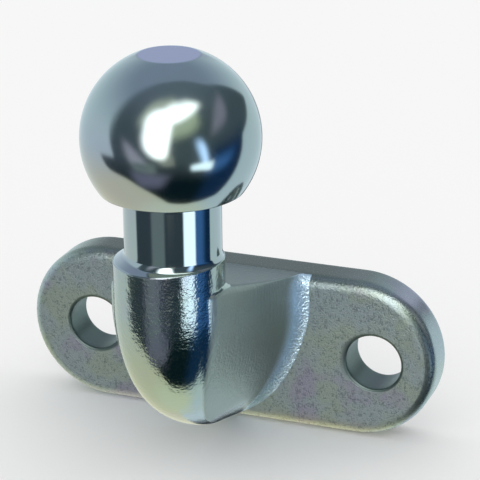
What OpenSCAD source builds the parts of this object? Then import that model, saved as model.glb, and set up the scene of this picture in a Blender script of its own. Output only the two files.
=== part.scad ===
// Flange-mounted tow ball: one drop forging, turned on the ball and neck, drilled for two bolts.
// Frame: origin on the flat mounting face, midway between the bolt holes. The face is y = 0,
// the ball stands out towards -Y and up towards +Z, and the flange runs along X.

/* [Ball] */
// Diameter of the ball
ball_d = 50; // [44:0.5:56]
// Distance of the ball centre in front of the mounting face
ball_reach = 55; // [50:0.5:66]
// Height of the ball centre above the bolt holes
ball_height = 78.9; // [76:0.1:90]
// Diameter of the flat turned on top of the ball
ball_flat_d = 17.2; // [8:0.2:26]
// Depth below the ball's centre at which its underside is faced off
ball_base_drop = 14.75; // [13:0.25:19]

/* [Neck] */
// Diameter of the turned neck
neck_d = 27.4; // [22:0.2:28]
// Radius of the fillet where the neck runs into the ball's underside
neck_top_fillet = 1.75; // [0.5:0.25:2.5]
// Radius of the fillet where the neck runs into the shoulder
neck_root_fillet = 4; // [2:0.25:5]

/* [Boss] */
// Diameter of the turned collar under the neck
collar_d = 31.3; // [30:0.1:33]
// Height of the shoulder above the bolt holes
shoulder_height = 43.7; // [40:0.1:46]
// How far the forged boss stands proud of the turned collar
boss_proud = 0.1; // [0.05:0.05:0.4]
// Height below which the forged boss starts to draw in
boss_draw_height = 28.4; // [20:0.1:31]

/* [Arm] */
// Half width of the arm where it meets the flange
arm_root_half = 22.8; // [19:0.2:26]
// Height below which the root of the arm starts to narrow
arm_narrow_height = 13.8; // [6:0.1:18]
// Height of the arm's ledge under the collar
arm_ledge_height = 36.8; // [35:0.1:38]
// Radius of the edge between the arm's top and side, beside the boss
arm_edge_r = 2.6; // [1.5:0.1:3.5]
// How far the arm's side stands proud of the boss
arm_proud = 0.8; // [0.2:0.1:1.4]
// Radius of the fillet between the arm and the flange
arm_root_fillet = 4; // [2:0.5:5]

/* [Flange] */
// Length of the flange
flange_l = 130.2; // [124:0.2:136]
// Height of the flange
flange_h = 49.2; // [44:0.2:54]
// Thickness of the flange
flange_t = 12; // [10:0.5:15]
// Radius of the front edge of the flange
flange_front_r = 3.5; // [2:0.25:4.5]
// Radius of the trimmed back edge of the flange
flange_back_r = 0.8; // [0.4:0.1:1.5]

/* [Bolt holes] */
// Distance between the bolt holes
bolt_spacing = 90; // [84:1:96]
// Diameter of the bolt holes
bolt_hole_d = 17; // [13:0.5:19]
// Chamfer at both ends of a bolt hole
bolt_chamfer = 0.7; // [0.3:0.1:1.2]

/* [Forging] */
// Sideways offset of the forged body from the machined ball and holes
forge_shift_x = -1.4; // [-2:0.1:2]
// Vertical offset of the forged body from the machined ball and holes
forge_shift_z = 0.1; // [-1:0.1:1]

/* [Hidden] */

// Segments of a full turned circle
turn_fn = 96;
// Overlap that keeps neighbouring solids joined
lap = 1;

// Turned sizes
ball_r = ball_d / 2;
neck_r = neck_d / 2;
collar_r = collar_d / 2;
ball_flat_z = sqrt(pow(ball_r, 2) - pow(ball_flat_d / 2, 2));
ball_base_z = ball_height - ball_base_drop;
// Lowest level of the turned body, well inside the forged boss
turned_bottom = arm_ledge_height - 2 * arm_edge_r;

// Flange outline, measured from the forging's own middle
flange_top = flange_h / 2;
// Middle of the arc that rounds each end
flange_arc_x = flange_l / 2 - flange_top;

// Radius of the forged boss, and the side it gains where the arm joins it
boss_r = collar_r + boss_proud;
// Depth inside the flange at which the arm ends
arm_back = -flange_t / 3;
// Lowest level of the arm, just above the flange's bottom edge
arm_bottom = 0.05 - flange_top;
// Radius of the keel's end, and how deep it sinks into the flange's lower edge
keel_r = 0.4;
keel_sink = 1;
// Height at which the arm's side turns over into its ledge
arm_side_top = arm_ledge_height - arm_edge_r;
// Radius left on the arm's upper edge where it runs out on the flange
arm_edge_end_r = 0.4;
// Reach of the arm's sloping top, from the collar's axis to the flange's flat top
arm_top_reach = ball_reach - flange_t + flange_front_r;

// Exponents of the forging's draw: nose radius, front line, root line and top line
nose_draw = 1.6;
front_draw = [3.1, 1.15];
root_draw = 1.5;
top_curve = 1.23;

// Angles from dead ahead at which the arm leaves the boss, stands fully proud and runs straight
leave_angle = 62;
proud_angle = 76;
side_angle = 84;

// Points along half of a level: round the nose, along the side, through the root fillet
nose_steps = 14;
side_steps = 6;
fillet_steps = 4;
half_points = nose_steps + side_steps + fillet_steps + 2;
ring_points = 2 * half_points - 1;
// Levels up the side, and rows over its rounded upper edge
level_steps = 24;
edge_steps = 3;
row_count = level_steps + edge_steps + 1;

// Share, from 0 to 1, of the way down from one height to the flange's bottom edge
function drop(z, from) = min(1, max(0, (from - z) / (from + flange_top)));
function mix(a, b, t) = a + (b - a) * t;
function smooth(t) = let(u = min(1, max(0, t))) u * u * (3 - 2 * u);

// y of the flange's front at height z, over its rounded upper and lower edges too
function flange_front(z) = let(
        past = min(flange_front_r, max(0, abs(z) - flange_top + flange_front_r)))
    -flange_t + flange_front_r - sqrt(pow(flange_front_r, 2) - pow(past, 2));
// y of the arm's root at height z: on the flange's front, but sunk into it at the keel's end
function root_y(z) = flange_front(z) + keel_sink * pow(drop(z, arm_narrow_height), 8);
// Half width of the arm at its root, before the fillet, and the fillet's radius there
function root_half(z) = arm_root_half
    * pow(1 - pow(drop(z, arm_narrow_height), root_draw), 1 / root_draw);
function root_fillet(z) = arm_root_fillet * (1 - pow(drop(z, arm_narrow_height), 12));

// Radius of the nose, y of its foremost point and of its centre, all at height z
function nose_r(z) = mix(boss_r, keel_r, pow(drop(z, boss_draw_height), nose_draw));
function nose_front(z) = let(root = z > 0 ? -flange_t : root_y(z))
    root - (ball_reach + boss_r + root) * pow(1 - pow(drop(z, arm_side_top), front_draw[0]),
        1 / front_draw[1]);
function nose_y(z) = nose_front(z) + nose_r(z);
// How far the side stands proud of the nose circle at angle a
function proud(a, z) = arm_proud * nose_r(z) / boss_r
    * smooth((a - leave_angle) / (proud_angle - leave_angle));

// Point on the nose at angle a from dead ahead, drawn in by inset
function nose_point(a, z, inset) = let(r = nose_r(z) + proud(a, z) - inset)
    [r * sin(a), nose_y(z) - r * cos(a)];
// Point where the root fillet starts on the side
function fillet_start(z) = [root_half(z), root_y(z) - root_fillet(z)];

// Point i of half a level at height z: nose, side, root fillet, then inside the flange
function half_point(i, z, inset) = let(
        side_i = i - nose_steps,
        fillet_i = side_i - side_steps,
        start = fillet_start(z),
        fillet = root_fillet(z),
        turn = 80 * min(1, fillet_i / fillet_steps))
    i < nose_steps ? nose_point(side_angle * i / (nose_steps - 1), z, inset)
    : side_i < side_steps ? mix(nose_point(side_angle, z, inset), start - [inset, 0],
        (side_i + 1) / (side_steps + 1))
    : [start[0] - inset + fillet * (1 - cos(turn)),
        fillet_i > fillet_steps ? arm_back : start[1] + fillet * sin(turn)];

// Height and edge radius of the arm's top at distance y behind the flange's flat top
function top_share(y) = min(1, max(0, (-y - flange_t + flange_front_r) / arm_top_reach));
function top_z(y) = flange_top + (arm_ledge_height - flange_top) * pow(top_share(y), top_curve);
function edge_r(y) = mix(arm_edge_end_r, arm_edge_r, smooth((top_share(y) - 0.22) / 0.75));

// Point i of half of row j: rows rise to the upper edge, then roll over it
function arm_point(i, j) = let(
        y = half_point(i, flange_top, 0)[1],
        r = edge_r(y),
        side_z = top_z(y) - r,
        roll = 90 * max(0, j - level_steps) / edge_steps,
        z = mix(arm_bottom, side_z, pow(min(1, j / level_steps), 1.25)),
        p = half_point(i, z, r * (1 - cos(roll))))
    [p[0], p[1], z + r * sin(roll)];

// The arm as one closed skin: rings of points from the keel up, left half, nose, right half
module arm() {
    last = half_points - 1;
    points = [for (j = [0 : row_count - 1], m = [0 : ring_points - 1])
        let(p = arm_point(abs(m - last), j)) [sign(m - last) * p[0], p[1], p[2]]];
    function at(j, m) = j * ring_points + m;
    skin = [for (j = [0 : row_count - 2], m = [0 : ring_points - 2], half = [0, 1])
        half == 0 ? [at(j, m), at(j + 1, m), at(j + 1, m + 1)]
        : [at(j, m), at(j + 1, m + 1), at(j, m + 1)]];
    floor_face = [for (m = [0 : ring_points - 1]) m];
    top_faces = [for (i = [0 : last - 1]) let(top = row_count - 1)
        i == 0 ? [at(top, last), at(top, last - 1), at(top, last + 1)]
        : [at(top, last - i), at(top, last - i - 1), at(top, last + i + 1), at(top, last + i)]];
    back_face = concat(
        [for (j = [0 : row_count - 1]) at(j, ring_points - 1)],
        [for (j = [row_count - 1 : -1 : 0]) at(j, 0)]);
    polyhedron(points, concat(skin, [floor_face], top_faces, [back_face]), convexity = 6);
}

// Section of the flange from its middle out to radius r, with its rounded front and back edges
module flange_section(r) {
    square([r - flange_front_r, flange_t]);
    translate([0, flange_back_r])
        square([r, flange_t - flange_front_r - flange_back_r]);
    square([r - flange_back_r, flange_t - flange_front_r]);
    translate([r - flange_front_r, flange_t - flange_front_r])
        circle(flange_front_r, $fn = turn_fn / 2);
    translate([r - flange_back_r, flange_back_r])
        circle(flange_back_r, $fn = turn_fn / 4);
}

// One quarter of the flange: its straight run, then half of the arc that rounds its end
module flange_quarter() {
    rotate([90, 0, 90])
        linear_extrude(flange_arc_x)
            flange_section(flange_top);
    translate([flange_arc_x, 0])
        rotate_extrude(angle = 90, $fn = turn_fn * 2)
            flange_section(flange_top);
}

// The flange lying flat, front face up: four like quarters
module flange_plate() {
    for (side = [0, 1], half = [0, 1])
        mirror([side, 0, 0])
            mirror([0, half, 0])
                flange_quarter();
}

// Everything the dies shape, in its own frame and then moved by the machining offset
module forging() {
    translate([forge_shift_x, 0, forge_shift_z]) {
        rotate([90, 0, 0])
            flange_plate();
        arm();
    }
}

// Half section of the ball, neck and shoulder as the lathe cuts them
module turned_section() {
    intersection() {
        translate([0, ball_height])
            circle(ball_r, $fn = turn_fn * 2);
        translate([0, ball_base_z])
            square([ball_r + lap, ball_base_drop + ball_flat_z]);
    }
    difference() {
        translate([0, ball_base_z - neck_top_fillet])
            square([neck_r + neck_top_fillet, neck_top_fillet + lap]);
        translate([neck_r + neck_top_fillet, ball_base_z - neck_top_fillet])
            circle(neck_top_fillet, $fn = turn_fn / 2);
    }
    translate([0, shoulder_height])
        square([neck_r, ball_base_z - shoulder_height]);
    difference() {
        translate([0, turned_bottom])
            square([neck_r + neck_root_fillet, shoulder_height + neck_root_fillet - turned_bottom]);
        translate([neck_r + neck_root_fillet, shoulder_height + neck_root_fillet])
            circle(neck_root_fillet, $fn = turn_fn / 2);
    }
    translate([0, turned_bottom])
        square([collar_r + abs(forge_shift_x) + lap, shoulder_height - turned_bottom]);
}

// Ball, neck and collar; the collar keeps the forging's axis, so the neck sits off its middle
module turned() {
    difference() {
        translate([0, -ball_reach, 0])
            rotate_extrude($fn = turn_fn * 2)
                turned_section();
        difference() {
            translate([0, -ball_reach, turned_bottom - lap])
                cylinder(r = 2 * collar_r, h = shoulder_height + neck_root_fillet - turned_bottom
                    + 2 * lap, $fn = turn_fn);
            translate([forge_shift_x, -ball_reach, turned_bottom - 2 * lap])
                cylinder(r = collar_r, h = shoulder_height + neck_root_fillet - turned_bottom
                    + 4 * lap, $fn = turn_fn * 2);
        }
    }
}

// One bolt hole along Y, open at both ends, with its two chamfers
module bolt_hole() {
    hole_r = bolt_hole_d / 2;
    rotate([90, 0, 0]) {
        translate([0, 0, -lap])
            cylinder(r = hole_r, h = flange_t + 2 * lap, $fn = turn_fn);
        for (end = [0, 1])
            translate([0, 0, end * flange_t])
                mirror([0, 0, end])
                    translate([0, 0, -lap])
                        cylinder(r1 = hole_r + bolt_chamfer + lap, r2 = hole_r,
                            h = bolt_chamfer + lap, $fn = turn_fn);
    }
}

module tow_ball() {
    color("silver")
        difference() {
            union() {
                forging();
                turned();
            }
            for (side = [-1, 1])
                translate([side * bolt_spacing / 2, 0, 0])
                    bolt_hole();
        }
}

tow_ball();
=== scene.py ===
"""Flange-mounted tow ball: a zinc-plated drop forging with a turned neck and ball.

Lengths are millimetres until a mesh is made. The mounting face is y = 0, the ball stands out
towards -Y and up, and the flange runs along X.
"""

import bmesh
import bpy
import numpy as np
from mathutils import Matrix


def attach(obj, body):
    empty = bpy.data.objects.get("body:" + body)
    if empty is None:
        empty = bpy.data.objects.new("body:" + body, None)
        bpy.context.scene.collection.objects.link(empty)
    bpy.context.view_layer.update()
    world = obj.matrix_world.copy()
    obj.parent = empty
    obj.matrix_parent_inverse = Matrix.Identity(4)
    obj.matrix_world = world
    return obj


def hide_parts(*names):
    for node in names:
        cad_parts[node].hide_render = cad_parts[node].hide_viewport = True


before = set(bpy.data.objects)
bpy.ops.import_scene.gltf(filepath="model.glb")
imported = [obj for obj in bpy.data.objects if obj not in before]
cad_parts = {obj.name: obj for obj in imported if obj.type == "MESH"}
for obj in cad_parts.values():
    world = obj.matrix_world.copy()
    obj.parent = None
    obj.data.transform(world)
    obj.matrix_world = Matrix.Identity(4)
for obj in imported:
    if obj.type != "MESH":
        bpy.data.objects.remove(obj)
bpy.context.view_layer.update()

# The flange: a forged steel plate with round ends, shot blasted and zinc plated, drilled for
# two bolts. Its front edge keeps the die's soft radius and its back edge is trimmed.
FLANGE_LENGTH, FLANGE_HEIGHT, FLANGE_THICK = 130.2, 49.2, 12.0
FRONT_EDGE, BACK_EDGE = 3.5, 0.8
BOLT_SPACING, HOLE_RADIUS, HOLE_EDGE = 90.0, 8.5, 0.7
RUN_STEPS, ARC_STEPS, MIDDLE_STEPS = 40, 110, 30
QUARTER = np.pi / 2
# The forged body sits a little off the machined ball and holes
FORGE_SHIFT = np.array([-1.4, 0.0, 0.1])
FLANGE_TOP = FLANGE_HEIGHT / 2
# Points nearer than this, in metres, are one point
MERGE_DISTANCE = 2e-7


def spread(start, end, count, last=True):
    """Evenly spaced numbers from start to end."""
    return np.linspace(start, end, count, endpoint=last)


def mix(a, b, share):
    """a + (b - a) share."""
    return a + (b - a) * share


def ease(x):
    """3 x^2 - 2 x^3 with x held between 0 and 1."""
    x = np.clip(x, 0.0, 1.0)
    return x * x * (3.0 - 2.0 * x)


def grid_faces(rows, columns, first=0, rows_close=False):
    """Quads (r,c) (r,c+1) (r+1,c+1) (r+1,c) of a grid whose columns close on themselves."""
    r = np.arange(rows if rows_close else rows - 1)[:, None]
    c = np.arange(columns)[None, :]
    right, below = (c + 1) % columns, (r + 1) % rows
    corners = [r * columns + c, r * columns + right, below * columns + right, below * columns + c]
    quads = np.stack([np.broadcast_to(k, (len(r), columns)) for k in corners], -1)
    return quads.reshape(-1, 4) + first


def new_mesh(name, points, faces, finish, marks):
    """Mesh from points in mm, in one finish; a mark is a value at each point, for the finish."""
    mesh = bpy.data.meshes.new(name)
    mesh.from_pydata((points * 0.001).tolist(), [], faces.tolist())
    mesh.materials.append(finish)
    for mark, values in marks.items():
        layer = mesh.attributes.new(mark, "FLOAT", "POINT")
        layer.data.foreach_set("value", np.asarray(values, np.float32).ravel())
    return mesh


def set_out(mesh):
    """Object at the origin for a mesh."""
    piece = bpy.data.objects.new(mesh.name, mesh)
    bpy.context.collection.objects.link(piece)
    return piece


def make_piece(name, points, faces, finish, marks):
    """Piece of the forging; doubled points merge, so a row drawn to one point closes a pole."""
    mesh = new_mesh(name, points, faces, finish, marks)
    work = bmesh.new()
    work.from_mesh(mesh)
    bmesh.ops.remove_doubles(work, verts=work.verts, dist=MERGE_DISTANCE)
    if work.calc_volume(signed=True) < 0:
        bmesh.ops.reverse_faces(work, faces=work.faces)
    work.to_mesh(mesh)
    work.free()
    mesh.shade_smooth()
    piece = set_out(mesh)
    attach(piece, "root")
    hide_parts("tow_ball")


def flange_outline(inset):
    """Right half of the outline drawn in by inset: bottom run, end arc, top run, middle line.

    The arc is (arc_x, 0) + (half height - inset) (cos a, sin a), and the runs join it level.
    """
    arc_x, radius = FLANGE_LENGTH / 2 - FLANGE_TOP, FLANGE_TOP - inset
    run, turn = spread(0, arc_x, RUN_STEPS, False), spread(-QUARTER, QUARTER, ARC_STEPS, False)
    middle = spread(1, -1, MIDDLE_STEPS)[:-1]
    x = [run, arc_x + radius * np.cos(turn), arc_x - run, 0 * middle]
    z = [-radius + 0 * run, radius * np.sin(turn), radius + 0 * run, radius * middle]
    return np.stack([np.concatenate(x), np.concatenate(z)], -1)


def flange_half(side):
    """Closed loop of rows round the plate's section: hole rim, front, edge, back, bore.

    A row goes once round the hole: as a circle at the hole, as the outline at the plate's edge,
    and in between at a share of the straight way from one to the other. The rounded edges are
    quarter circles: the inset is radius (1 - sin a) while the depth is radius (1 - cos a).
    """
    hole = np.array([side * BOLT_SPACING / 2, 0.0])
    rows, marks = [], []

    def edge(inset):
        xz = flange_outline(inset) * [side, 1] + FORGE_SHIFT[[0, 2]]
        return xz if side > 0 else xz[::-1]

    def add(xz, y, rim, bore):
        rows.append(np.column_stack([xz[:, 0], np.full(len(xz), y), xz[:, 1]]))
        marks.append((rim, bore))

    towards = edge(0.0) - hole
    towards /= np.linalg.norm(towards, axis=1)[:, None]
    mouth = hole + towards * (HOLE_RADIUS + HOLE_EDGE)
    for turn in spread(0, QUARTER, 7):
        circle = hole + towards * (HOLE_RADIUS + HOLE_EDGE * (1 - np.cos(turn)))
        add(circle, HOLE_EDGE * (1 - np.sin(turn)) - FLANGE_THICK, 0, 1)
    for share in (0.04, 0.12, 0.25, 0.4, 0.55, 0.7, 0.82, 0.92):
        add(mix(mouth, edge(FRONT_EDGE), share), -FLANGE_THICK, 0, 0)
    for turn in spread(0, QUARTER, 13):
        inset = FRONT_EDGE * (1 - np.sin(turn))
        add(edge(inset), FRONT_EDGE * (1 - np.cos(turn)) - FLANGE_THICK, ease(turn / QUARTER), 0)
    for share in spread(0, 1, 7)[1:-1]:
        add(edge(0), mix(FRONT_EDGE - FLANGE_THICK, -BACK_EDGE, share), 1, 0)
    for turn in spread(0, QUARTER, 8):
        inset = BACK_EDGE * (1 - np.cos(turn))
        add(edge(inset), BACK_EDGE * (np.sin(turn) - 1), 1, 0)
    for share in (0.08, 0.25, 0.5, 0.75, 0.92):
        add(mix(edge(BACK_EDGE), mouth, share), 0.0, 0.6, 0)
    for turn in spread(0, QUARTER, 7):
        circle = hole + towards * (HOLE_RADIUS + HOLE_EDGE * (1 - np.sin(turn)))
        add(circle, -HOLE_EDGE * (1 - np.cos(turn)), 0, 1)
    for share in spread(0, 1, 9)[1:-1]:
        add(hole + towards * HOLE_RADIUS, mix(-HOLE_EDGE, HOLE_EDGE - FLANGE_THICK, share), 0, 1)
    points, marks = np.array(rows), np.array(marks, float)
    faces = grid_faces(len(rows), points.shape[1], rows_close=True)
    flat = points.reshape(-1, 3)
    on_middle = np.abs(flat[:, 0] - FORGE_SHIFT[0]) < 1e-6
    faces = faces[~on_middle[faces].all(axis=1)]
    return flat, faces, np.repeat(marks, points.shape[1], axis=0)


class Wire:
    """A value on its way through a finish's nodes; arithmetic on it adds Math nodes."""

    def __init__(self, finish, socket):
        self.finish, self.socket = finish, socket

    def math(self, operation, *values):
        return self.finish.node("ShaderNodeMath", {"operation": operation}, dict(enumerate(values)))

    def __abs__(self):
        return self.math("ABSOLUTE", self)

    def __add__(self, other):
        return self.math("ADD", self, other)

    def __sub__(self, other):
        return self.math("SUBTRACT", self, other)

    def __rsub__(self, other):
        return self.math("SUBTRACT", other, self)

    def __mul__(self, other):
        return self.math("MULTIPLY", self, other)

    __radd__, __rmul__ = __add__, __mul__


class Finish:
    """A material in the making, with one method for every node."""

    def __init__(self, name):
        self.material = bpy.data.materials.new(name)
        self.material.use_nodes = True
        self.tree = self.material.node_tree
        self.tree.nodes.clear()
        self.place = self.node("ShaderNodeTexCoord", out="Object")

    def node(self, kind, settings=None, values=None, out=0):
        """Adds a node: settings first, then each socket's value or link; returns one output."""
        made = self.tree.nodes.new(kind)
        for key, value in (settings or {}).items():
            setattr(made, key, value)
        for key, value in (values or {}).items():
            if isinstance(value, Wire):
                self.tree.links.new(value.socket, made.inputs[key])
            else:
                made.inputs[key].default_value = value
        return Wire(self, made.outputs[out]) if made.outputs else None

    def surface(self, shader):
        """Joins the last shader to the output and hands the material over."""
        self.node("ShaderNodeOutputMaterial", {}, {"Surface": shader})
        return self.material

    def steel(self, colour, roughness, normal, metallic=1.0):
        """Plated steel all over; a thick passivated film makes it a little less metallic."""
        return self.surface(self.node("ShaderNodeBsdfPrincipled", {}, {
            "Metallic": metallic, "Base Color": colour, "Roughness": roughness, "Normal": normal}))

    def noise(self, size, detail=3.0, rough=0.5, place=None, seed=0.0):
        """Smooth noise from 0 to 1 with spots about size mm across."""
        where = self.node("ShaderNodeVectorMath", {"operation": "ADD"},
                          {0: place or self.place, 1: (seed, seed * 0.7, -seed)})
        return self.node("ShaderNodeTexNoise", {}, {
            "Vector": where, "Scale": 500.0 / size, "Detail": detail, "Roughness": rough})

    def stretched(self, x, y, z):
        """Object coordinates drawn out: a pattern is stretched where the factor is small."""
        return self.node("ShaderNodeMapping", {}, {"Vector": self.place, "Scale": (x, y, z)})

    def ramp(self, wire, low, high):
        """Eased step from 0 at low to 1 at high."""
        return self.node("ShaderNodeMapRange", {"interpolation_type": "SMOOTHSTEP"},
                         {"Value": wire, "From Min": low, "From Max": high})

    def mark(self, name):
        """A mesh's own mark."""
        return self.node("ShaderNodeAttribute", {"attribute_name": name}, out="Fac")

    def blend(self, a, b, share):
        """Colour a turning into colour b."""
        a, b = [k if isinstance(k, Wire) else (*k, 1.0) for k in (a, b)]
        return self.node("ShaderNodeMix", {"data_type": "RGBA"}, {0: share, 6: a, 7: b}, out=2)

    def axis(self, letter):
        """One object coordinate, in mm."""
        return self.node("ShaderNodeSeparateXYZ", {}, {0: self.place}, out=letter) * 1000.0

    def bump(self, height, depth):
        """Normal of a surface whose height rises depth mm as height goes from 0 to 1."""
        return self.node("ShaderNodeBump", {}, {
            "Height": height, "Distance": depth * 0.001, "Strength": 1.0})


GREY_ZINC, GREEN_ZINC = (0.37, 0.44, 0.45), (0.38, 0.45, 0.39)
# the yellow is a painted reflection of the warm floor, put on the lowest edges
VIOLET_ZINC, FLOOR_REFLECTION_ZINC = (0.38, 0.38, 0.45), (0.54, 0.50, 0.36)
# the dark, bore and top rim colours are painted shade; the dark one also darkens the blast pits
PIT_AND_SHADE_ZINC, BORE_SHADE_ZINC, TOP_RIM_SHADE_ZINC = (0.10, 0.13, 0.13), (0.10, 0.14, 0.125), (0.15, 0.18, 0.15)
PLATE_ROUGHNESS, BLAST_DEPTH = 0.42, 0.11

plate = Finish("blasted_zinc_plate")
rim, bore = plate.mark("rim"), plate.mark("bore")
plate_x, plate_z = plate.axis("X"), plate.axis("Z")
smooth = plate.ramp(rim + bore, 0.35, 1.0)
edge_zone = plate.ramp(rim, 0.02, 0.5)
patches = plate.blend(GREY_ZINC, GREEN_ZINC, plate.ramp(plate.noise(6), 0.42, 0.6))
violet_spots = plate.ramp(plate.noise(8, seed=3.1), 0.52, 0.64)
patches = plate.blend(patches, VIOLET_ZINC, violet_spots)
# painted reflection: the flange's lower edge, from the middle to the right end, is tinted yellow
# like the warm floor it faces
floor_reflection_edge = plate.ramp(plate_z, -18.0, -24.0) * plate.ramp(plate_x, -10.0, 20.0)
patches = plate.blend(patches, FLOOR_REFLECTION_ZINC, floor_reflection_edge * (1 - bore) * 0.6)
# painted shade: the flange's upward-facing rim is darkened, fully left of x = 24 mm and fading out
# by x = 70 mm
top_rim_shade = plate.ramp(plate_z, 19.0, 24.0) * rim * plate.ramp(plate_x, 70.0, 24.0)
patches = plate.blend(patches, TOP_RIM_SHADE_ZINC, top_rim_shade)
# painted shade: a dark band on the front edge's rounding at the flange's right end
painted_end_shade = plate.ramp(plate_x, 50.0, 60.0) * plate.ramp(rim, 0.0, 0.08) * plate.ramp(rim, 0.75, 0.5)
patches = plate.blend(patches, PIT_AND_SHADE_ZINC, painted_end_shade * 0.85)
# painted shade: the walls of the bolt holes are darkened like a recess
patches = plate.blend(patches, BORE_SHADE_ZINC, bore * 0.9)
grit = plate.noise(0.26, 2.0, 0.5)
speck = plate.noise(0.6, 3.0, 0.6, seed=5.3)
pits = plate.ramp(grit * 0.5 + speck * 0.5, 0.52, 0.36) * (1 - smooth * 0.9)
tone = plate.blend(patches, PIT_AND_SHADE_ZINC, pits * 0.5)
blasted = plate.bump(grit * (1 - smooth * 0.85) + speck * (0.6 - smooth * 0.5), BLAST_DEPTH)
plate_roughness = PLATE_ROUGHNESS - edge_zone * 0.14 + (speck - 0.5) * 0.15
plate_finish = plate.steel(tone, plate_roughness, blasted, 0.85 + smooth * 0.1)

right, left = flange_half(1), flange_half(-1)
flange_points = np.concatenate([right[0], left[0]])
flange_faces = np.concatenate([right[1], left[1] + len(right[0])])
flange_marks = np.concatenate([right[2], left[2]])
make_piece("flange", flange_points, flange_faces, plate_finish,
           {"rim": flange_marks[:, 0], "bore": flange_marks[:, 1]})

# The arm and boss: the forging's elbow, drawn up in the dies from the flange into an upright
# boss under the ball. Its skin is as forged and plated, with a soft fillet on the flange, and
# the boss's rippled wall runs up to the turned shoulder as a round collar.
BALL_REACH, NECK_RADIUS = 55.0, 13.7
BOSS_RADIUS, BOSS_DRAW_HEIGHT = 15.75, 28.4
KEEL_RADIUS, KEEL_SINK = 0.4, 1.0
ROOT_HALF, NARROW_HEIGHT, ROOT_FILLET, ROOT_TURN = 22.8, 13.8, 4.0, np.radians(89.0)
LEDGE_HEIGHT, LEDGE_FILLET = 36.8, 1.5
# The upper edge's radius at the boss, at the flange and dead ahead, and its share of the way up
EDGE_RADIUS, EDGE_END_RADIUS, EDGE_AHEAD = 2.6, 0.4, 0.05
EDGE_FROM, EDGE_RUN = 0.22, 0.75
SHOULDER_HEIGHT, SHOULDER_EDGE = 43.7, 0.15
# The shoulder sinks from SINK_FROM degrees left of dead ahead on, over SINK_RUN degrees
SHOULDER_SINK, SINK_FROM, SINK_RUN, SINK_AWAY = 0.75, 50.0, 40.0, 0.4
ROOT_BEND, ROOT_ANGLE, ROOT_RISE = 1.6, np.radians(54.0), 2.4
# The side stands proud of the boss from an angle off dead ahead on, and fades in up from the keel
ARM_PROUD, PROUD_START, PROUD_FADE = 0.8, 62.0, 16.0
SIDE_ANGLE, EDGE_START, ANGLE_RUN = 84.0, 60.0, 14.0
ARM_BACK, ARM_BOTTOM = -4.0, 0.05 - FLANGE_TOP
# Small steps that keep two skins from lying in one plane
ROOT_STEP, TOP_STEP, COLLAR_RADIUS = 0.02, 0.06, BOSS_RADIUS - 0.02
NOSE_STEPS, SIDE_STEPS, FILLET_STEPS, BACK_STEPS, INTO_STEPS = 84, 46, 18, 12, 4
LEVEL_STEPS, EDGE_STEPS, TOP_STEPS, COLLAR_STEPS = 130, 14, 12, 540
LEVEL_CROWDING = 1.25
CREASE_PASSES, CREASE_REACH, CREASE_RUN, CREASE_TOP = 70, 34, 16.0, 0.3


def drop(z, start):
    """Share of the way down from start to the flange's bottom edge."""
    return np.clip((start - z) / (start + FLANGE_TOP), 0.0, 1.0)


def flange_front(z):
    """Front of the flange, over its rounded edges: a circle of the edge's radius."""
    past = np.clip(np.abs(z) - FLANGE_TOP + FRONT_EDGE, 0.0, FRONT_EDGE)
    return -FLANGE_THICK + FRONT_EDGE - np.sqrt(FRONT_EDGE**2 - past**2)


def root_y(z):
    """Where the arm meets the flange, sunk into it by drop^8 at the keel's end."""
    return flange_front(z) + KEEL_SINK * drop(z, NARROW_HEIGHT) ** 8


def root_half(z):
    """Half width at the root: (1 - drop^1.5)^(1/1.5) of its full width."""
    return ROOT_HALF * (1 - drop(z, NARROW_HEIGHT) ** 1.5) ** (1 / 1.5)


def root_fillet(z):
    """The root fillet's radius, which dies out at the keel's end."""
    return ROOT_FILLET * (1 - drop(z, NARROW_HEIGHT) ** 12)


def nose_r(z):
    """Radius of the nose, drawn in by drop^1.6 from the boss to the keel."""
    return mix(BOSS_RADIUS, KEEL_RADIUS, drop(z, BOSS_DRAW_HEIGHT) ** 1.6)


def nose_y(z):
    """Centre of the nose: its front runs back as (1 - drop^3.1)^(1/1.15)."""
    root = np.where(z > 0, -FLANGE_THICK, root_y(z))
    reach = (1 - drop(z, LEDGE_HEIGHT - EDGE_RADIUS) ** 3.1) ** (1 / 1.15)
    return root - (BALL_REACH + BOSS_RADIUS + root) * reach + nose_r(z)


def proud(angle, z):
    """How far the side stands proud of the nose circle, from the crease on; it fades low down."""
    fade = ease((z + FLANGE_TOP) / PROUD_FADE)
    past_start = ease((angle - PROUD_START) / ANGLE_RUN)
    return ARM_PROUD * fade * nose_r(z) / BOSS_RADIUS * past_start


def nose_point(angle, z, inset):
    """Point on the nose: its centre plus (radius sin a, -radius cos a), a from dead ahead."""
    radius, turn = nose_r(z) + proud(angle, z) - inset, np.radians(angle)
    return radius * np.sin(turn), nose_y(z) - radius * np.cos(turn)


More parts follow.
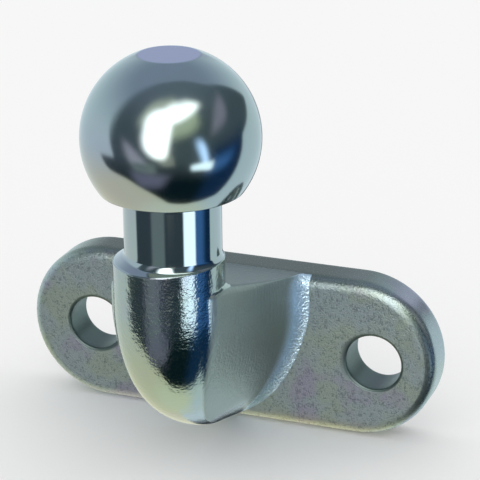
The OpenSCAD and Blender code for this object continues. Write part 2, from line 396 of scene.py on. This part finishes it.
def half_level(z, inset):
    """x and y round half a level, one column a point: nose, side, root fillet, into the flange.

    The nose is an arc, the side a straight run from its end to the root, and the root fillet
    adds radius (1 - cos a, sin a). z and inset hold one value per column, for a whole row.
    """
    column = np.arange(z.shape[-1])
    side = column - NOSE_STEPS
    back = side - SIDE_STEPS - FILLET_STEPS
    nx, ny = nose_point(SIDE_ANGLE * np.minimum(column / (NOSE_STEPS - 1), 1), z, inset)
    fillet = root_fillet(z)
    start_x, start_y = root_half(z) - inset, root_y(z) - fillet
    share = np.clip((side + 1) / (SIDE_STEPS + 1), 0, 1)
    turn = ROOT_TURN * np.clip((side - SIDE_STEPS) / FILLET_STEPS, 0, 1)
    x = np.where(side < 0, nx, mix(nx, start_x, share) + fillet * (1 - np.cos(turn)))
    side_y = mix(ny, start_y, share) + fillet * np.sin(turn) + ROOT_STEP * (back >= 0)
    y = np.where(side < 0, ny, side_y)
    into = np.clip((back + 1) / INTO_STEPS, 0, 1)
    across = np.clip((back - INTO_STEPS + 1) / (BACK_STEPS - INTO_STEPS), 0, 1)
    return x * (1 - across), mix(y, ARM_BACK, into)


def top_share(y):
    """Share of the way up the arm's sloping top."""
    reach = BALL_REACH - FLANGE_THICK + FRONT_EDGE
    return np.clip((-y - FLANGE_THICK + FRONT_EDGE) / reach, 0.0, 1.0)


def top_z(y):
    """Height of the arm's top: it climbs as share^1.23 from just under the flange's flat top."""
    return mix(FLANGE_TOP - TOP_STEP, LEDGE_HEIGHT, top_share(y) ** 1.23)


def edge_r(y):
    """Radius of the edge between the arm's top and side, eased in from the flange to the boss."""
    return mix(EDGE_END_RADIUS, EDGE_RADIUS, ease((top_share(y) - EDGE_FROM) / EDGE_RUN))


def soften_crease(skin):
    """The dies leave the crease between boss and side soft below the ledge.

    Each point moves towards the average of its neighbours in the row, taken over and over, by a
    share that dies out away from the crease and up to the ledge.
    """
    soft = skin.copy()
    for _ in range(CREASE_PASSES):
        soft[:, 1:-1] = (soft[:, :-2] + 2 * soft[:, 1:-1] + soft[:, 2:]) / 4
    near = ease((CREASE_REACH - np.abs(np.arange(skin.shape[1]) - NOSE_STEPS)) / CREASE_RUN)
    low = ease((LEVEL_STEPS - np.arange(skin.shape[0])) / (CREASE_TOP * LEVEL_STEPS))
    return mix(skin, soft, (low[:, None] * near)[..., None])


def arm_shell():
    """The elbow's closed skin: levels from the keel up, the rolled upper edge, then the top.

    The roll lifts a row by radius sin a and draws it in by draw (1 - cos a). The bottom and top
    rows are drawn to the middle line, and the left side is the right one mirrored.
    """
    half = NOSE_STEPS + SIDE_STEPS + FILLET_STEPS + BACK_STEPS
    angle = SIDE_ANGLE * np.minimum(np.arange(half) / (NOSE_STEPS - 1), 1)
    y_top = half_level(np.full(half, FLANGE_TOP), np.zeros(half))[1]
    radius = edge_r(y_top)
    side_z = top_z(y_top) - radius
    # dead ahead the edge hardly draws in, so that the boss runs straight up into the collar
    draw = mix(EDGE_AHEAD, radius, ease((angle - EDGE_START) / ANGLE_RUN))
    rows = []
    for share in spread(0, 1, LEVEL_STEPS) ** LEVEL_CROWDING:
        z = mix(ARM_BOTTOM, side_z, share)
        rows.append([*half_level(z, 0 * z), z])
    for roll in spread(0, QUARTER, EDGE_STEPS)[1:]:
        z = side_z + radius * np.sin(roll)
        rows.append([*half_level(z, draw * (1 - np.cos(roll))), z])
    x, y, z = rows[-1]
    for share in spread(0, 1, TOP_STEPS)[1:]:
        rows.append([x * (1 - share), y, z])
    x, y, z = rows[0]
    rows = [[x * share, y, z] for share in (0, 0.5)] + rows
    right_side = soften_crease(np.array(rows).transpose(0, 2, 1))
    left_side = right_side[:, 1:-1][:, ::-1] * [-1, 1, 1]
    return np.concatenate([right_side, left_side], axis=1) + FORGE_SHIFT


def side_line():
    """The side's straight run at the ledge: its first point and its slope dx/dy."""
    x0, y0 = nose_point(SIDE_ANGLE, np.array(LEDGE_HEIGHT - EDGE_RADIUS), 0)
    return x0, y0, (ROOT_HALF - x0) / (-FLANGE_THICK - ROOT_FILLET - y0)


def ledge_z(x, y):
    """Height of the arm's top beside the collar: flat, then the quarter round of its edge."""
    x0, y0, slope = side_line()
    from_side = (x0 + (y - y0) * slope - np.abs(x)) / np.hypot(1, slope)
    angle = np.degrees(np.arctan2(np.abs(x), -y - BALL_REACH))
    from_nose = BOSS_RADIUS + proud(angle, LEDGE_HEIGHT) - np.hypot(x, y + BALL_REACH)
    radius = edge_r(y)
    inside = np.clip(np.where(y > y0, from_side, from_nose), 0.0, radius)
    return top_z(y) - radius + np.sqrt(np.maximum(radius**2 - (radius - inside) ** 2, 0))


def ledge_width(turn):
    """Width of the ledge straight out from the collar, where the side is proud or runs off."""
    x0, y0, slope = side_line()
    across = np.abs(np.sin(turn)) + slope * np.cos(turn)
    run = (x0 - slope * (BALL_REACH + y0)) / np.maximum(across, 0.05) - BOSS_RADIUS
    angle = np.abs(np.degrees(turn))
    return np.where(angle > SIDE_ANGLE, run, proud(angle, LEDGE_HEIGHT))


def neck_root(x, y):
    """Height of the neck's root over the shoulder, at points about the neck.

    The wall bends in an arc of radius ROOT_BEND to ROOT_ANGLE, then slopes straight out. It sinks
    by up to SHOULDER_SINK towards the front and right, where the photo shows the shoulder lower.
    """
    away = np.hypot(x, y + BALL_REACH) - NECK_RADIUS
    turn = np.degrees(np.arctan2(x, -y - BALL_REACH))
    arc_end = ROOT_BEND * (1 - np.cos(ROOT_ANGLE))
    bend = np.arccos(np.clip(1 - away / ROOT_BEND, np.cos(ROOT_ANGLE), 1))
    fall = ROOT_BEND * np.sin(bend) + np.maximum(away - arc_end, 0) / np.tan(ROOT_ANGLE)
    sink = SHOULDER_SINK * ease((turn + SINK_FROM) / SINK_RUN) * np.minimum(away / SINK_AWAY, 1)
    return ROOT_RISE - fall - sink


def collar_shell():
    """The boss's upper wall: the fillet that lands on the ledge, the wall, the rounded edge.

    Each row is a ring (radius sin a, -radius cos a) about the forged boss. The fillet's radius
    is wall + fillet (1 - sin a), and its height is that of the ledge + fillet (1 - cos a).
    """
    turn = spread(-np.pi, np.pi, COLLAR_STEPS, False)
    wall, sin, cos = COLLAR_RADIUS, np.sin(turn), np.cos(turn)
    fillet = np.minimum(LEDGE_FILLET, 0.5 * ledge_width(turn))
    rows = []

    def add(radius, z):
        rows.append(np.column_stack([radius * sin, -BALL_REACH - radius * cos, z + 0 * turn]))

    def shoulder(radius):
        rise = neck_root(radius * sin + FORGE_SHIFT[0], -BALL_REACH - radius * cos)
        return SHOULDER_HEIGHT - FORGE_SHIFT[2] + rise

    # the closed foot, hidden in the arm
    add(0 * turn, LEDGE_HEIGHT - 8.0)
    add(wall - 3.0, LEDGE_HEIGHT - 8.0)
    add(wall - 0.3, LEDGE_HEIGHT - 6.0)
    # the fillet starts under the ledge, and where the ledge runs out it is a ring inside the arm
    for arc in (-0.3, *spread(0, QUARTER, 14)):
        radius = wall + fillet * (1 - np.sin(max(arc, 0.0)))
        ledge = ledge_z(radius * sin, -BALL_REACH - radius * cos)
        landed = ledge + fillet * (1 - np.cos(arc)) + 0.6 * min(arc, 0.0)
        add(radius, mix(LEDGE_HEIGHT - 2.5 + 0.02 * arc, landed, ease(fillet / 0.1)))
    low, high = rows[-1][:, 2], shoulder(wall) - SHOULDER_EDGE
    for share in (*spread(0, 0.9, 10)[1:], 0.97, 1.0):
        add(wall + 0 * turn, mix(low, high, share))
    inner = shoulder(wall - SHOULDER_EDGE)
    for arc in spread(0, QUARTER, 5)[1:]:
        add(wall - SHOULDER_EDGE * (1 - np.cos(arc)), mix(high, inner, np.sin(arc)))
    # the closed top, hidden in the shoulder
    add(wall - SHOULDER_EDGE - 0.3, inner - 0.8)
    add(0 * turn, SHOULDER_HEIGHT - 2.0)
    return np.array(rows) + FORGE_SHIFT


# the low flank and ledge colours are painted shade, and the web colour is a painted highlight
FLANK_ZINC, LOW_FLANK_SHADE_ZINC = (0.31, 0.37, 0.34), (0.21, 0.26, 0.22)
LEDGE_SHADE_ZINC, WEB_HIGHLIGHT_ZINC = (0.13, 0.165, 0.16), (0.66, 0.84, 0.96)
FORGED_ROUGHNESS, RIPPLE_DEPTH = 0.12, 0.1

forged = Finish("forged_zinc_skin")
web, top, height = forged.mark("web"), forged.mark("top"), forged.axis("Z")
# low down the whole arm is as bright as the boss
boss = forged.mark("boss")
boss = boss + (1 - boss) * forged.ramp(height, -8.0, -20.0)
flank = (1 - boss) * (1 - web)
clouds = forged.blend(GREY_ZINC, GREEN_ZINC, forged.ramp(forged.noise(9), 0.35, 0.65))
violet_spots = forged.ramp(forged.noise(12, seed=7.7), 0.52, 0.72)
clouds = forged.blend(clouds, VIOLET_ZINC, violet_spots * 0.8)
clouds = forged.blend(clouds, FLANK_ZINC, flank * 0.75)
# painted shade: a darker band across the arm's side between about z = -19 and 22 mm, darkest from
# -9 to 6 mm
low_flank_shade = forged.ramp(height, 22.0, 6.0) * forged.ramp(height, -19.0, -9.0) * flank
clouds = forged.blend(clouds, LOW_FLANK_SHADE_ZINC, low_flank_shade * 0.35)
# painted reflection: the lowest part of the arm's side is tinted yellow like the warm floor below
clouds = forged.blend(clouds, FLOOR_REFLECTION_ZINC, forged.ramp(height, -12.0, -21.0) * flank * 0.5)
# painted shade: the arm's upward-facing top, beside the collar, is darkened
clouds = forged.blend(clouds, LEDGE_SHADE_ZINC, top * 0.95)
# painted highlight: the root fillet where the arm's side meets the flange is coloured bright pale
# blue
clouds = forged.blend(clouds, WEB_HIGHLIGHT_ZINC, web * 0.95)
peel = forged.noise(1.1, 1.5, 0.4)
fine = forged.noise(0.36, 2.0, 0.5, seed=2.2)
drawn = forged.noise(0.6, 3.0, 0.55, forged.stretched(1.0, 1.0, 0.22), seed=4.0)
relief = boss * (peel * 0.75 + fine * 0.65) + flank * (drawn * 2.6 + fine * 2.0) + web * fine * 5.5
forged_roughness = FORGED_ROUGHNESS + flank * 0.28 + web * 0.16
forged_finish = forged.steel(clouds, forged_roughness, forged.bump(relief, RIPPLE_DEPTH),
                             0.85 + boss * 0.15)

arm, collar = arm_shell(), collar_shell()
arm_row, arm_column = np.arange(arm.shape[0]), np.arange(arm.shape[1])
from_front = np.minimum(arm_column, arm.shape[1] - arm_column)
past_side = from_front - NOSE_STEPS - SIDE_STEPS
boss_share = ease((NOSE_STEPS * 0.85 - from_front) / 8.0)
web_share = ease((past_side + 6) / 8.0) * ease((FILLET_STEPS + 4 - past_side) / 6.0)
top_share_of_row = ease((arm_row - LEVEL_STEPS - EDGE_STEPS * 0.5) / 4.0)[:, None]
arm_top = top_share_of_row * ease((from_front - NOSE_STEPS * 0.7) / 8.0)
on_collar = np.ones(collar.shape[0] * collar.shape[1])
arm_points = np.concatenate([arm.reshape(-1, 3), collar.reshape(-1, 3)])
arm_faces = np.concatenate([
    grid_faces(*arm.shape[:2]),
    grid_faces(*collar.shape[:2], first=arm.shape[0] * arm.shape[1])])
make_piece("arm_and_boss", arm_points, arm_faces, forged_finish, {
    "boss": np.append(np.tile(boss_share, arm.shape[0]), on_collar),
    "web": np.append((1 - top_share_of_row) * web_share, 0 * on_collar),
    "top": np.append(arm_top, 0 * on_collar)})

# The ball and neck: the forging's upper end, turned in the lathe and plated over the bright
# metal. The ball has a small flat on top and is faced off square underneath, and the neck bends
# out into a sloping shoulder that ends at the collar.
BALL_RADIUS, BALL_HEIGHT, FLAT_RADIUS = 24.995, 78.9, 8.6
BALL_BASE, NECK_TOP, TURNED_EDGE = 64.15, 1.75, 0.25
TURNED_STEPS, BALL_STEPS, NECK_TOP_STEPS = 448, 140, 12
NECK_STEPS, BEND_STEPS, SLOPE_STEPS = 14, 16, 6
FLAT_SHARES = (0, 0.2, 0.5, 0.8, 0.93, 0.97)


def turned_shell():
    """Revolved profile: flat, ball, faced underside, neck fillet, neck, root bend, shoulder.

    Each row is a ring (radius sin a, -radius cos a) about the ball's axis. On the ball it has
    radius R sin p and height R cos p, on the neck's top fillet neck + fillet (1 - sin a) and
    base - fillet (1 - cos a), and from the neck out the height is that of neck_root.
    """
    turn = spread(-np.pi, np.pi, TURNED_STEPS, False)
    sin, cos = np.sin(turn), np.cos(turn)
    rows = []

    def add(radius, z):
        rows.append(np.column_stack([radius * sin, -BALL_REACH - radius * cos, z + 0 * turn]))

    flat_z = BALL_HEIGHT + np.sqrt(BALL_RADIUS**2 - FLAT_RADIUS**2)
    for share in FLAT_SHARES:
        add(FLAT_RADIUS * share + 0 * turn, flat_z)
    start = np.arcsin(FLAT_RADIUS / BALL_RADIUS) + TURNED_EDGE / BALL_RADIUS
    end = np.arccos((BALL_BASE - BALL_HEIGHT) / BALL_RADIUS) - TURNED_EDGE / BALL_RADIUS
    for polar in spread(start, end, BALL_STEPS):
        add(BALL_RADIUS * np.sin(polar) + 0 * turn, BALL_HEIGHT + BALL_RADIUS * np.cos(polar))
    base_radius = np.sqrt(BALL_RADIUS**2 - (BALL_HEIGHT - BALL_BASE) ** 2)
    for radius in (base_radius - TURNED_EDGE, base_radius - 0.6, NECK_RADIUS + NECK_TOP + 0.3):
        add(radius + 0 * turn, BALL_BASE)
    for arc in spread(0, QUARTER, NECK_TOP_STEPS):
        radius = NECK_RADIUS + NECK_TOP * (1 - np.sin(arc))
        add(radius + 0 * turn, BALL_BASE - NECK_TOP * (1 - np.cos(arc)))
    for share in spread(0, 1, NECK_STEPS)[1:]:
        z = mix(BALL_BASE - NECK_TOP, SHOULDER_HEIGHT + ROOT_RISE, share)
        add(NECK_RADIUS + 0 * turn, z)
    # distance from the neck's axis to the collar's edge at each angle
    edge = FORGE_SHIFT[0] * sin + np.sqrt(COLLAR_RADIUS**2 - (FORGE_SHIFT[0] * cos) ** 2)
    edge = edge - SHOULDER_EDGE
    bend = NECK_RADIUS + ROOT_BEND * (1 - np.cos(ROOT_ANGLE * spread(0, 1, BEND_STEPS)))
    slope = [mix(bend[-1], edge, share) for share in spread(0, 1, SLOPE_STEPS)[1:]]
    for radius in (*bend[1:], *slope):
        radius = np.minimum(radius, edge)
        add(radius, SHOULDER_HEIGHT + neck_root(radius * sin, -BALL_REACH - radius * cos))
    # the closed end, hidden in the boss
    add(edge - 0.3, rows[-1][:, 2] - 1.5)
    add(0 * turn, SHOULDER_HEIGHT - 3.0)
    return np.array(rows)


FLAT_ZINC = (0.47, 0.52, 0.69)
NECK_ROUGHNESS, LATHE_DEPTH = 0.06, 0.02

turned = Finish("turned_zinc")
violet_spots = turned.ramp(turned.noise(26, seed=1.3), 0.45, 0.7)
green_spots = turned.ramp(turned.noise(20, seed=9.1), 0.5, 0.7)
film = turned.blend(GREY_ZINC, VIOLET_ZINC, violet_spots * 0.6)
film = turned.blend(film, GREEN_ZINC, green_spots * 0.6)
film = turned.blend(film, FLAT_ZINC, turned.mark("flat"))
# the lathe's lines are noise drawn out sideways, and the ball is a little duller than the neck
lines = turned.noise(0.5, 2.0, 0.5, turned.stretched(0.03, 0.03, 1.0))
wave = turned.noise(9.0, 1.0, 0.4, seed=6.0)
on_ball = turned.ramp(turned.axis("Z"), 60.0, 66.0)
turned_finish = turned.steel(film, NECK_ROUGHNESS + lines * 0.03 + on_ball * 0.06,
                             turned.bump(lines * 0.04 + wave * 0.25, LATHE_DEPTH))

ball = turned_shell()
on_flat = np.arange(ball.shape[0]) < len(FLAT_SHARES)
make_piece("ball_and_neck", ball.reshape(-1, 3), grid_faces(*ball.shape[:2]), turned_finish,
           {"flat": np.repeat(on_flat, ball.shape[1]).astype(float)})

# The studio: a pale floor under the part and plain white light from all sides. Metal alone sees
# a painted dome: a dark room in front of the part with soft windows, and pale walls around it.
FLOOR_HEIGHT, FLOOR_HALF, FLOOR_GREY = -24.52, 4000.0, 0.93
DOME_RADIUS, DOME_COLUMNS, DOME_ROWS = 3800.0, 145, 73
CAMERA_AZIMUTH, CAMERA_ELEVATION, CAMERA_DISTANCE = 21.2817, 20.9778, 639.078
CAMERA_TARGET = np.array([8.2567, -25.0, 39.0266])
CAMERA_ROLL, LENS, SENSOR_WIDTH = -0.61797, 165.4146, 36.0
AHEAD = np.radians(CAMERA_AZIMUTH)


def stage_piece(name, points, faces, finish, marks):
    """A floor or dome of the studio, in mm."""
    piece = set_out(new_mesh(name, points, faces, finish, marks))
    return piece


floor = Finish("pale_floor")
floor_finish = floor.surface(floor.node("ShaderNodeBsdfDiffuse", {}, {
    "Color": (FLOOR_GREY, FLOOR_GREY, FLOOR_GREY, 1)}))
corners = np.array([(-1, -1), (1, -1), (1, 1), (-1, 1)]) * FLOOR_HALF
ground = stage_piece("floor", np.column_stack([corners, np.full(4, FLOOR_HEIGHT)]),
                     np.array([[0, 1, 2, 3]]), floor_finish, {})
ground.visible_glossy = False

dome = Finish("painted_dome")
azimuth, elevation = dome.mark("azimuth"), dome.mark("elevation")
sky = dome.node("ShaderNodeCombineXYZ", {}, {0: azimuth, 1: elevation, 2: 1.0})


def patch(*corners):
    """1 inside the lines from each corner to the next, anticlockwise, and 0 outside.

    A corner is azimuth and elevation in degrees, then the softness of the line from it on. Each
    line's share is an eased step of the distance to it, and the patch is their product.
    """
    share = 1.0
    for (a0, e0, soft), (a1, e1, _) in zip(corners, corners[1:] + corners[:1]):
        length = np.hypot(a1 - a0, e1 - e0)
        across = np.array([e0 - e1, a1 - a0]) / length
        line = (*across, -across @ (a0, e0))
        inward = dome.node("ShaderNodeVectorMath", {"operation": "DOT_PRODUCT"},
                           {0: sky, 1: line}, out="Value")
        share = dome.ramp(inward, -soft / 2, soft / 2) * share
    return share


# the pale walls: darker up, warm low down, near white underfoot, and grey behind the part
wall = dome.blend((0.80, 0.94, 1.0), (0.38, 0.45, 0.58), dome.ramp(elevation, 0, 60))
warm = dome.ramp(elevation, -8, -42) * dome.ramp(azimuth, 90, 20)
wall = dome.blend(wall, (0.93, 0.91, 0.70), warm)
wall = dome.blend(wall, (0.98, 1.03, 0.82), dome.ramp(elevation, -58, -78))
behind = dome.ramp(abs(azimuth), 160, 172)
behind = behind * dome.ramp(elevation, 4, 14) * dome.ramp(elevation, 44, 30)
wall = dome.blend(wall, (0.50, 0.55, 0.66), behind)
dark_behind = patch((166, -48, 8), (200, -48, 6), (200, -10, 8), (166, -10, 8))
wall = dome.blend(wall, (0.05, 0.06, 0.07), dark_behind)

# the dark room: black low down, blue on the right
gloom = dome.blend((0.004, 0.016, 0.022), (0.105, 0.142, 0.165), dome.ramp(elevation, -42, -5))
gloom = dome.blend(gloom, (0.20, 0.25, 0.31), dome.ramp(elevation, 15, 75))
blue = patch((50, -66, 24), (110, -66, 24), (110, 2, 24), (50, -2, 24))
gloom = dome.blend(gloom, (0.010, 0.040, 0.11), blue)
bright_blue = patch((48, -30, 14), (76, -25, 16), (86, -10, 16), (54, -14, 14))
gloom = dome.blend(gloom, (0.08, 0.23, 0.58), bright_blue)
room = patch((-82, 95, 30), (-84, -19, 5), (-62, -35, 4), (-49, -61, 4), (-24, -70, 4),
             (8, -74, 4), (42, -73, 4), (72, -65, 4), (89, -55, 4), (104, 2, 8), (106, 95, 24))
left_bulge = patch((-96, -15, 6), (-88, -26, 5), (-60, -36, 4), (-70, -14, 8))
right_bulge = patch((96, -4, 4), (138, 9, 5), (118, 44, 14), (96, 62, 14))
tone = dome.blend(wall, gloom, dome.ramp(room + left_bulge + right_bulge, 0.0, 1.0))

# what stands in the room, from the faintest to the brightest
WINDOW = (3.8, 3.8, 3.8)
for colour, share in [
    # under the window, and the left side's three bands
    ((0.45, 0.46, 0.42), patch((-14, -6, 10), (-10, -19, 6), (6, -18, 6), (4, -4, 10))),
    ((0.24, 0.24, 0.34), patch((-54, -26, 16), (-46, -46, 16), (-14, -48, 16), (0, -30, 12))),
    ((0.58, 0.57, 0.66), patch((-60, 8, 16), (-56, -10, 12), (-48, -20, 12), (-24, -28, 12),
                               (-12, -24, 12), (-34, -8, 12), (-46, 6, 14))),
    ((0.25, 0.31, 0.31), patch((-50, -15, 10), (-46, -27, 8), (-18, -27, 8), (-18, -16, 6))),
    # the right side's mauve
    ((0.40, 0.38, 0.47), patch((46, -10, 12), (62, -6, 14), (86, 20, 14), (112, 26, 12),
                               (112, 40, 12), (82, 40, 14), (60, 24, 14))),
    # the window's green fringes, then its tall and its wide part
    ((0.70, 0.80, 0.60), patch((2, 16, 18), (34, 20, 20), (48, 36, 20), (44, 50, 12), (0, 44, 12))),
    ((0.75, 0.80, 0.66), patch((-46, 44, 18), (-44, 0, 18), (-30, -14, 16), (4, -16, 14),
                               (12, 34, 16), (66, 40, 18), (66, 62, 18), (0, 68, 18),
                               (-36, 60, 18))),
    (WINDOW, patch((-35, 42, 16), (-34, 5, 14), (-25, -6, 12), (-12, -11, 12), (-2, -7, 12),
                   (3, 20, 12), (7, 42, 14), (-16, 52, 16))),
    (WINDOW, patch((-26, 40, 14), (4, 32, 12), (26, 38, 14), (60, 48, 18), (48, 58, 18),
                   (0, 58, 16))),
    # the blue streak and its white foot, which is the neck's bright bar
    ((1.5, 2.0, 3.0), patch((34, 10, 14), (38, -12, 10), (46, -26, 10), (55, -24, 10),
                            (48, -6, 10), (47, 10, 16))),
    ((2.2, 2.5, 2.8), patch((26, -19, 5), (27, -25, 5), (54, -26, 6), (56, -17, 8), (40, -16, 6))),
]:
    tone = dome.blend(tone, colour, share)
dome_finish = dome.surface(dome.node("ShaderNodeEmission", {}, {"Color": tone}))
dome_finish.cycles.emission_sampling = "NONE"


def direction(azimuth, elevation):
    """Unit vector at an azimuth to the right of the camera's, as seen from the part."""
    a, e = np.radians(azimuth)[..., None], np.radians(elevation)[..., None]
    ahead = np.array([np.sin(AHEAD), -np.cos(AHEAD), 0])
    side = np.array([np.cos(AHEAD), np.sin(AHEAD), 0])
    return (np.cos(a) * ahead + np.sin(a) * side) * np.cos(e) + np.sin(e) * np.array([0, 0, 1.0])


across, up = np.meshgrid(spread(-180, 180, DOME_COLUMNS), spread(-90, 90, DOME_ROWS))
dome_points = direction(across, up).reshape(-1, 3) * DOME_RADIUS + [0, -BALL_REACH, BALL_HEIGHT]
first = np.arange(DOME_ROWS - 1)[:, None] * DOME_COLUMNS + np.arange(DOME_COLUMNS - 1)
dome_faces = first.reshape(-1, 1) + [0, 1, DOME_COLUMNS + 1, DOME_COLUMNS]
sky_dome = stage_piece("dome", dome_points, dome_faces, dome_finish,
                       {"azimuth": across, "elevation": up})
sky_dome.visible_camera = sky_dome.visible_diffuse = False
sky_dome.visible_shadow = sky_dome.visible_transmission = False

world = bpy.data.worlds.new("white_room")
bpy.context.scene.world = world
world.use_nodes = True
world.node_tree.nodes["Background"].inputs[0].default_value = (1, 1, 1, 1)
world.node_tree.nodes["Background"].inputs[1].default_value = 1.0

a, e, roll = [np.radians(k) for k in (CAMERA_AZIMUTH, CAMERA_ELEVATION, CAMERA_ROLL)]
back = np.array([np.sin(a) * np.cos(e), -np.cos(a) * np.cos(e), np.sin(e)])
flat_right = np.array([np.cos(a), np.sin(a), 0.0])
flat_up = np.cross(back, flat_right)
camera = bpy.data.cameras.new("camera")
camera.sensor_width, camera.lens = SENSOR_WIDTH, LENS
camera.clip_start, camera.clip_end = 0.01, 20.0
view = bpy.data.objects.new("camera", camera)
pose = np.eye(4)
pose[:3, 0] = np.cos(roll) * flat_right + np.sin(roll) * flat_up
pose[:3, 1] = -np.sin(roll) * flat_right + np.cos(roll) * flat_up
pose[:3, 2] = back
pose[:3, 3] = (CAMERA_TARGET + back * CAMERA_DISTANCE) * 0.001
view.matrix_world = Matrix(pose.tolist())
bpy.context.collection.objects.link(view)
bpy.context.scene.camera = view
bpy.context.scene.view_settings.view_transform = "Standard"
